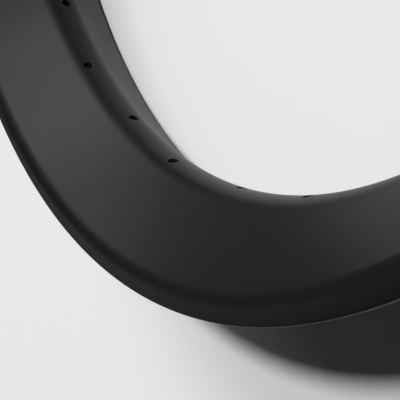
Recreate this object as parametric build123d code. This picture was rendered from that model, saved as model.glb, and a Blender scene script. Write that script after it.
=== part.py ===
from build123d import *
import math
import os

# A fat-bike wheel rim, moulded as one hollow piece of carbon-fibre laminate.
# Millimetres. The wheel's axle is the Z axis and the origin is the wheel's centre,
# so the rim lies on the flank of one flange. The valve hole is on the X axis.

# Tyre fit: the bead shelves and the plain flanges that keep the beads in
bead_seat_diameter = 559.0
flange_height = 5.5
flange_wall = 3.2
shelf_width = 9.0

# Drop channel between the shelves, where the beads find slack when a tyre goes on
channel_depth = 3.6
ramp_run = 10.6

# Outer form of the section, from the flange's edge to the round nose that the spokes pull on
outer_width = 79.6
rim_depth = 37.8
nose_round = 15.1
shoulder_depth = 8.3
shoulder_round = 11.2

# Laminate
side_wall = 1.3
bed_wall = 1.4
spoke_bed_wall = 3.0

# Drilling: the spoke holes lie in turn on one side and the other of the middle
spoke_count = 32
spoke_hole_diameter = 4.6
spoke_hole_offset = 2.1
valve_hole_diameter = 6.5
drill_overrun = 2.0

# Radii from the axle and distances from the mid-plane that follow from those sizes
bead_radius = bead_seat_diameter / 2
edge_radius = bead_radius + flange_height
nose_level = edge_radius - rim_depth
nose_centre = nose_level + nose_round
shoulder_level = edge_radius - shoulder_depth
channel_level = bead_radius - channel_depth
spoke_bed_inside = nose_level + spoke_bed_wall
shelf_underside = bead_radius - bed_wall
channel_underside = channel_level - bed_wall
half_width = outer_width / 2
flange_inside = half_width - flange_wall
flange_root = flange_inside - side_wall
ramp_top = flange_inside - shelf_width
ramp_foot = ramp_top - ramp_run

# The nose's arc turns, from the mid-plane, until it heads straight for the shoulder's corner
corner_reach = math.hypot(shoulder_level - nose_centre, half_width)
corner_bearing = math.atan2(half_width, shoulder_level - nose_centre)
nose_turn = math.pi - corner_bearing - math.acos(nose_round / corner_reach)


def outline():
    """Half of the section's outer outline, as (radius, height), from the nose to the channel's floor."""
    nose = CenterArc((nose_centre, 0), nose_round, 180, -math.degrees(nose_turn))
    side_and_bed = FilletPolyline(
        nose @ 1,
        (shoulder_level, half_width),
        (edge_radius, half_width),
        (edge_radius, flange_inside),
        (bead_radius, flange_inside),
        (bead_radius, ramp_top),
        (channel_level, ramp_foot),
        (channel_level, 0),
        radius=[shoulder_round, 0, 0, 0, 0, 0],
    )
    return Wire([nose] + side_and_bed.edges())


def hollow():
    """Half of the hollow's outline: it leaves the spoke bed, the side wall and the tyre bed."""
    bed_edge = math.sqrt((nose_round - side_wall) ** 2 - (nose_centre - spoke_bed_inside) ** 2)
    side_inside = half_width - side_wall / math.sin(nose_turn)
    side_end = shoulder_level - (side_inside - flange_root) * math.tan(nose_turn)
    return Polyline(
        (spoke_bed_inside, 0),
        (spoke_bed_inside, bed_edge),
        (side_end, flange_root),
        (shelf_underside, ramp_top),
        (channel_underside, ramp_foot),
        (channel_underside, 0),
    )


def ring(half_outline):
    """A half outline closed along the mid-plane, mirrored across it and turned about the axle."""
    half = make_face(Curve() + half_outline + Line(half_outline @ 1, half_outline @ 0))
    return revolve(Plane.XZ * (half + mirror(half, Plane.XZ)), Axis.Z)


def bore(angle, height, diameter, start, end):
    """A round hole that points at the axle, between two distances from it."""
    length = end - start + 2 * drill_overrun
    place = Rot(0, 0, angle) * Pos((start + end) / 2, 0, height) * Rot(0, 90, 0)
    return place * Cylinder(diameter / 2, length)


def rim():
    """The hollow ring with its valve hole and its spoke holes, whose pitch is centred on the valve."""
    holes = [bore(0, 0, valve_hole_diameter, nose_level, channel_level)]
    for number in range(spoke_count):
        side = 1 if number % 2 == 0 else -1
        angle = (number + 0.5) * 360 / spoke_count
        holes.append(bore(angle, side * spoke_hole_offset, spoke_hole_diameter, nose_level, spoke_bed_inside))
    return ring(outline()) - ring(hollow()) - holes


os.makedirs("parts", exist_ok=True)
export_step(rim(), "parts/rim.step")
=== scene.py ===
import bpy
import math
from mathutils import Matrix, Vector


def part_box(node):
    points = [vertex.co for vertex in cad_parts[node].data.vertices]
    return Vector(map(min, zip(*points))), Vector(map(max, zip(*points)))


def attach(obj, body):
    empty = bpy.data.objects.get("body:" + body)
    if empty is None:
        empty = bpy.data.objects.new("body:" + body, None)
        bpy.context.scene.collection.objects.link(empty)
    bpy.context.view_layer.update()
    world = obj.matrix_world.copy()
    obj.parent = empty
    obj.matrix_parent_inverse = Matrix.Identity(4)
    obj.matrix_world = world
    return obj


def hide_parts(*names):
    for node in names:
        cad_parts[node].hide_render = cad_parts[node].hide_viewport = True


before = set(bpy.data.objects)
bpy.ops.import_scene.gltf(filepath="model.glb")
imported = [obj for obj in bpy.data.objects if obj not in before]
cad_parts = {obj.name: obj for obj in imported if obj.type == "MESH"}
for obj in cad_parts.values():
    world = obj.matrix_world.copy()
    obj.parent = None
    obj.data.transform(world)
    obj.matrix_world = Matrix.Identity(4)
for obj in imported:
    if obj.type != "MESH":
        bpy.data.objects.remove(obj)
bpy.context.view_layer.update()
bpy.context.scene.view_settings.view_transform = "Standard"

# The rim: one hollow ring of carbon-fibre laminate, pressed in a closed mould in one piece.
# Its half section runs from the round nose over the side, the shoulder and the flange to the middle
# of the tyre bed. It is drawn in metres, eased at its corners, mirrored and turned about the axle.
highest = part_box("rim")[1]
edge_radius = highest.x
half_width = highest.z
rim_depth = 0.0378
nose_round = 0.0151
shoulder_depth = 0.0083
shoulder_round = 0.0112
flange_height = 0.0055
flange_wall = 0.0032
shelf_width = 0.009
channel_depth = 0.0036
ramp_run = 0.0106
flange_ease = 0.0007
root_ease = 0.0006
bed_ease = 0.0012
nose_steps = 14
shoulder_steps = 14
ease_steps = 4
turn_steps = 480
round_profile = 0.5
starting_plane = 0.001
mid_plane_reach = 0.000001
weld_distance = 0.00001

nose_level = edge_radius - rim_depth
nose_centre = nose_level + nose_round
shoulder_level = edge_radius - shoulder_depth
bead_radius = edge_radius - flange_height
channel_level = bead_radius - channel_depth
flange_inside = half_width - flange_wall
ramp_top = flange_inside - shelf_width
ramp_foot = ramp_top - ramp_run


def select_corner(section, corner):
    """Selects the one vertex of a drawn section that lies at a corner given as (radius, height)."""
    bpy.ops.mesh.select_all(action="DESELECT")
    bpy.ops.object.mode_set(mode="OBJECT")
    place = Vector((corner[0], 0, corner[1]))
    nearest = min(section.data.vertices, key=lambda vertex: (vertex.co - place).length)
    nearest.select = True
    bpy.ops.object.mode_set(mode="EDIT")


def turned_ring(name, half_outline, eased):
    """Draws half a section, as (radius, height), eases it, mirrors it and turns it about the axle."""
    bpy.ops.object.select_all(action="DESELECT")
    bpy.ops.mesh.primitive_plane_add(size=starting_plane, location=(0, 0, 0))
    ring = bpy.context.object
    ring.name = name
    bpy.ops.object.mode_set(mode="EDIT")
    bpy.ops.mesh.merge(type="CENTER")
    bpy.ops.transform.translate(value=(half_outline[0][0], 0, half_outline[0][1]))
    for start, end in zip(half_outline, half_outline[1:]):
        run = (end[0] - start[0], 0, end[1] - start[1])
        bpy.ops.mesh.extrude_region_move(TRANSFORM_OT_translate={"value": run})
    # The section is filled while its corners are eased.
    bpy.ops.mesh.select_all(action="SELECT")
    bpy.ops.mesh.edge_face_add()
    for corner, easing, steps in eased:
        select_corner(ring, corner)
        bpy.ops.mesh.bevel(
            offset=easing, offset_type="OFFSET", segments=steps, affect="VERTICES", profile=round_profile
        )
    # Its face and its edge along the mid-plane go again, so that no wall is left between the halves.
    bpy.ops.mesh.select_all(action="SELECT")
    bpy.ops.mesh.delete(type="ONLY_FACE")
    bpy.ops.mesh.select_mode(type="EDGE")
    bpy.ops.mesh.select_all(action="DESELECT")
    bpy.ops.object.mode_set(mode="OBJECT")
    for edge in ring.data.edges:
        edge.select = all(abs(ring.data.vertices[end].co.z) < mid_plane_reach for end in edge.vertices)
    bpy.ops.object.mode_set(mode="EDIT")
    bpy.ops.mesh.delete(type="EDGE")
    bpy.ops.mesh.select_mode(type="VERT")
    bpy.ops.mesh.select_all(action="SELECT")
    bpy.ops.mesh.symmetrize(direction="POSITIVE_Z")
    bpy.ops.mesh.select_all(action="SELECT")
    bpy.ops.mesh.spin(
        steps=turn_steps, angle=math.tau, center=(0, 0, 0), axis=(0, 0, 1), use_auto_merge=True
    )
    bpy.ops.mesh.select_all(action="SELECT")
    bpy.ops.mesh.remove_doubles(threshold=weld_distance)
    bpy.ops.mesh.normals_make_consistent(inside=False)
    bpy.ops.object.mode_set(mode="OBJECT")
    return ring


shoulder = (shoulder_level, half_width)
flange_outer_edge = (edge_radius, half_width)
flange_inner_edge = (edge_radius, flange_inside)
flange_root = (bead_radius, flange_inside)
shelf_end = (bead_radius, ramp_top)
ramp_end = (channel_level, ramp_foot)
bed_middle = (channel_level, 0)
flange_and_bed = [flange_outer_edge, flange_inner_edge, flange_root, shelf_end, ramp_end, bed_middle]

# The nose's arc turns, from the mid-plane, until it heads straight for the shoulder's corner.
corner_reach = math.hypot(shoulder_level - nose_centre, half_width)
corner_bearing = math.atan2(half_width, shoulder_level - nose_centre)
nose_turn = math.pi - corner_bearing - math.acos(nose_round / corner_reach)
nose_arc = []
for step in range(nose_steps + 1):
    turn = nose_turn * step / nose_steps
    nose_arc.append((nose_centre - nose_round * math.cos(turn), nose_round * math.sin(turn)))
rim = turned_ring(
    "rim_shell",
    nose_arc + [shoulder] + flange_and_bed,
    [
        (shoulder, shoulder_round * math.tan(nose_turn / 2), shoulder_steps),
        (flange_outer_edge, flange_ease, ease_steps),
        (flange_inner_edge, flange_ease, ease_steps),
        (flange_root, root_ease, ease_steps),
        (shelf_end, bed_ease, ease_steps),
        (ramp_end, bed_ease, ease_steps),
    ],
)

# The hollow of the moulding, left by the bladder that presses the laminate into its mould.
# It keeps an even wall along the sides and the tyre bed and a thicker one under the spoke heads,
# and it is cut from the ring.
side_wall = 0.0013
bed_wall = 0.0014
spoke_bed_wall = 0.003
spoke_bed_inside = nose_level + spoke_bed_wall
spoke_bed_edge = math.sqrt((nose_round - side_wall) ** 2 - (nose_centre - spoke_bed_inside) ** 2)
side_inside = half_width - side_wall / math.sin(nose_turn)
side_top = flange_inside - side_wall
side_end = shoulder_level - (side_inside - side_top) * math.tan(nose_turn)
hollow = turned_ring(
    "rim_hollow",
    [
        (spoke_bed_inside, 0),
        (spoke_bed_inside, spoke_bed_edge),
        (side_end, side_top),
        (bead_radius - bed_wall, ramp_top),
        (channel_level - bed_wall, ramp_foot),
        (channel_level - bed_wall, 0),
    ],
    [],
)


def take_up(pieces):
    """Selects these objects alone and makes the first of them the active one."""
    bpy.ops.object.select_all(action="DESELECT")
    for piece in pieces:
        piece.select_set(True)
    bpy.context.view_layer.objects.active = pieces[0]


def cut_away(piece, cutter):
    """Cuts one closed mesh from another and clears the cutter away."""
    take_up([piece])
    cut = piece.modifiers.new("cut", "BOOLEAN")
    cut.operation = "DIFFERENCE"
    cut.solver = "EXACT"
    cut.object = cutter
    bpy.ops.object.modifier_apply(modifier="cut")
    bpy.data.objects.remove(cutter, do_unlink=True)


cut_away(rim, hollow)

# Drilling: plain spoke holes in two staggered rows along the nose, made after moulding, and one
# valve hole through both beds, midway between two of them. Each drill has a short flare that eases
# the hole's edge on the nose.
spoke_count = 32
spoke_hole_radius = 0.0023
spoke_hole_offset = 0.0021
valve_hole_radius = 0.00325
hole_ease = 0.00025
drill_overrun = 0.002
drill_blank = 0.001
drill_sides = 40
end_cosine = 0.9
crease_angle = math.radians(35)


def select_end(bit, up):
    """Selects the end face of a drill that looks up, with up at 1, or down, with up at -1."""
    bpy.ops.mesh.select_all(action="DESELECT")
    bpy.ops.object.mode_set(mode="OBJECT")
    for face in bit.data.polygons:
        face.select = face.normal.z * up > end_cosine
    bpy.ops.object.mode_set(mode="EDIT")


def drill(angle, height, radius, end):
    """One drill, pointing at the axle, with its flare at the surface of the nose."""
    bpy.ops.object.select_all(action="DESELECT")
    bpy.ops.mesh.primitive_cylinder_add(vertices=drill_sides, radius=radius, depth=drill_blank)
    bit = bpy.context.object
    bpy.ops.object.mode_set(mode="EDIT")
    bpy.ops.mesh.select_mode(type="FACE")
    select_end(bit, 1)
    bpy.ops.transform.translate(value=(0, 0, end + drill_overrun - drill_blank / 2))
    select_end(bit, -1)
    bpy.ops.transform.translate(value=(0, 0, nose_level + hole_ease + drill_blank / 2))
    bpy.ops.mesh.extrude_region_move(TRANSFORM_OT_translate={"value": (0, 0, -2 * hole_ease)})
    widened = 1 + 2 * hole_ease / radius
    bpy.ops.transform.resize(value=(widened, widened, 1))
    bpy.ops.mesh.extrude_region_move(TRANSFORM_OT_translate={"value": (0, 0, -drill_overrun)})
    bpy.ops.object.mode_set(mode="OBJECT")
    laid = Matrix.Translation((0, 0, height)) @ Matrix.Rotation(math.pi / 2, 4, "Y")
    bit.data.transform(Matrix.Rotation(angle, 4, "Z") @ laid)
    return bit


bits = [drill(0, 0, valve_hole_radius, channel_level)]
for number in range(spoke_count):
    side = 1 if number % 2 == 0 else -1
    angle = (number + 0.5) * math.tau / spoke_count
    bits.append(drill(angle, side * spoke_hole_offset, spoke_hole_radius, spoke_bed_inside))
take_up(bits)
bpy.ops.object.join()
cut_away(rim, bits[0])
take_up([rim])
bpy.ops.object.shade_smooth_by_angle(angle=crease_angle)

# The finish: satin lacquer over black laminate. Tows of fibre run round the ring and show only
# as faint streaks, the lacquer has a fine grain, and its gloss drifts a little from place to place.
fibre_black = (0.0058, 0.0058, 0.0065, 1)
resin_black = (0.0086, 0.0086, 0.0095, 1)
sheen_level = 0.07
glossiest = 0.32
dullest = 0.4
tow_width = 0.0024
tow_turns = 5
tow_detail = 3
tow_share = 0.5
grain_size = 0.0007
grain_detail = 2
drift_size = 0.11
drift_detail = 4
drift_low = 0.3
drift_high = 0.7
relief_strength = 0.05
relief_height = 0.0002
satin = bpy.data.materials.new("satin_black_laminate")
satin.use_nodes = True
nodes, links = satin.node_tree.nodes, satin.node_tree.links
shader = nodes["Principled BSDF"]
shader.inputs["Specular IOR Level"].default_value = sheen_level
place = nodes.new("ShaderNodeTexCoord")
split = nodes.new("ShaderNodeSeparateXYZ")
links.new(place.outputs["Object"], split.inputs[0])
x, y, z = split.outputs


def worked_out(operation, first, second=0):
    """A Math node fed by sockets or plain numbers."""
    node = nodes.new("ShaderNodeMath")
    node.operation = operation
    for socket, value in zip(node.inputs, (first, second)):
        if isinstance(value, (int, float)):
            socket.default_value = value
        else:
            links.new(value, socket)
    return node.outputs[0]


def noise(size, detail):
    """A noise that varies over about the given size, in the units of what it is fed with."""
    node = nodes.new("ShaderNodeTexNoise")
    node.inputs["Scale"].default_value = 1 / size
    node.inputs["Detail"].default_value = detail
    return node


squares = worked_out("ADD", worked_out("MULTIPLY", x, x), worked_out("MULTIPLY", y, y))
radius = worked_out("SQRT", squares)
tow_place = nodes.new("ShaderNodeCombineXYZ")
links.new(worked_out("DIVIDE", radius, tow_width), tow_place.inputs[0])
links.new(worked_out("DIVIDE", z, tow_width), tow_place.inputs[1])
links.new(worked_out("MULTIPLY", worked_out("DIVIDE", x, radius), tow_turns), tow_place.inputs[2])
tows = noise(1, tow_detail)
tows.noise_dimensions = "4D"
links.new(tow_place.outputs[0], tows.inputs["Vector"])
links.new(worked_out("MULTIPLY", worked_out("DIVIDE", y, radius), tow_turns), tows.inputs["W"])
grain = noise(grain_size, grain_detail)
links.new(place.outputs["Object"], grain.inputs["Vector"])
drift = noise(drift_size, drift_detail)
links.new(place.outputs["Object"], drift.inputs["Vector"])

tint = nodes.new("ShaderNodeMix")
tint.data_type = "RGBA"
tint.inputs["A"].default_value = fibre_black
tint.inputs["B"].default_value = resin_black
links.new(tows.outputs["Fac"], tint.inputs["Factor"])
links.new(tint.outputs["Result"], shader.inputs["Base Color"])
dull = nodes.new("ShaderNodeMapRange")
dull.inputs["From Min"].default_value = drift_low
dull.inputs["From Max"].default_value = drift_high
dull.inputs["To Min"].default_value = glossiest
dull.inputs["To Max"].default_value = dullest
links.new(drift.outputs["Fac"], dull.inputs["Value"])
links.new(dull.outputs["Result"], shader.inputs["Roughness"])
relief = nodes.new("ShaderNodeBump")
relief.inputs["Strength"].default_value = relief_strength
relief.inputs["Distance"].default_value = relief_height
tow_relief = worked_out("MULTIPLY", tows.outputs["Fac"], tow_share)
links.new(worked_out("ADD", grain.outputs["Fac"], tow_relief), relief.inputs["Height"])
links.new(relief.outputs["Normal"], shader.inputs["Normal"])
rim.data.materials.clear()
rim.data.materials.append(satin)
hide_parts("rim")
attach(rim, "root")

# The floor: a plain pale studio surface, far larger than the picture.
# The rim lies on it, flat on the flank of its lower flange.
floor_size = 80
floor_gap = 0.0001
floor_grey = (0.785, 0.79, 0.8, 1)
floor_roughness = 0.9
bpy.ops.object.select_all(action="DESELECT")
bpy.ops.mesh.primitive_plane_add(size=floor_size, location=(0, 0, -half_width - floor_gap))
floor = bpy.context.object
floor.name = "floor"
pale = bpy.data.materials.new("pale_floor")
pale.use_nodes = True
pale_shader = pale.node_tree.nodes["Principled BSDF"]
pale_shader.inputs["Base Color"].default_value = floor_grey
pale_shader.inputs["Roughness"].default_value = floor_roughness
floor.data.materials.append(pale)

# Studio light: a key that throws the rim's shadow towards the bottom of the picture, two soft lamps
# whose reflections model the near side, and a weak one behind for the flank. The room itself
# gives hardly any light.
room_tint = (0.92, 0.95, 1, 1)
room_strength = 0.015
lamps_aim = Vector((0, -0.25, 0))
lamp_distance = 6
room = bpy.data.worlds.new("room")
bpy.context.scene.world = room
room.use_nodes = True
room_light = room.node_tree.nodes["Background"]
room_light.inputs["Color"].default_value = room_tint
room_light.inputs["Strength"].default_value = room_strength


def lamp(name, kind, azimuth, elevation, power):
    """A lamp aimed at the visible part of the rim, from a bearing and a height in degrees."""
    light = bpy.data.lights.new(name, kind)
    light.energy = power
    holder = bpy.data.objects.new(name, light)
    bpy.context.collection.objects.link(holder)
    bearing, rise = math.radians(azimuth), math.radians(elevation)
    level = math.cos(rise)
    away = Vector((level * math.cos(bearing), level * math.sin(bearing), math.sin(rise)))
    holder.location = lamps_aim + away * lamp_distance
    holder.rotation_euler = away.to_track_quat("Z", "Y").to_euler()
    return light


lamp("key", "SUN", azimuth=40, elevation=48, power=2.75).angle = math.radians(6)
lamp("near_side", "AREA", azimuth=108, elevation=28, power=240).size = 3
lamp("lower_side", "AREA", azimuth=135, elevation=25, power=44).size = 2.5
lamp("flank", "AREA", azimuth=190, elevation=28, power=12).size = 2.5

# The camera: outside the ring and above it. It looks down along the ring at the nose and the near side,
# and the wheel's centre lies beyond the picture's top edge.
camera_at = Vector((0.2801, -0.21571, 0.1871))
looks_at = Vector((-0.05409, -0.2525, 0))
picture_up = Vector((-0.0601, 0.9943, -0.0881))
view = bpy.data.cameras.new("camera")
view.sensor_width = 36
view.lens = 84.94
view.clip_start = 0.01
camera = bpy.data.objects.new("camera", view)
bpy.context.collection.objects.link(camera)
back = (camera_at - looks_at).normalized()
right = picture_up.cross(back).normalized()
facing = Matrix((right, back.cross(right), back)).transposed().to_4x4()
camera.matrix_world = Matrix.Translation(camera_at) @ facing
bpy.context.scene.camera = camera
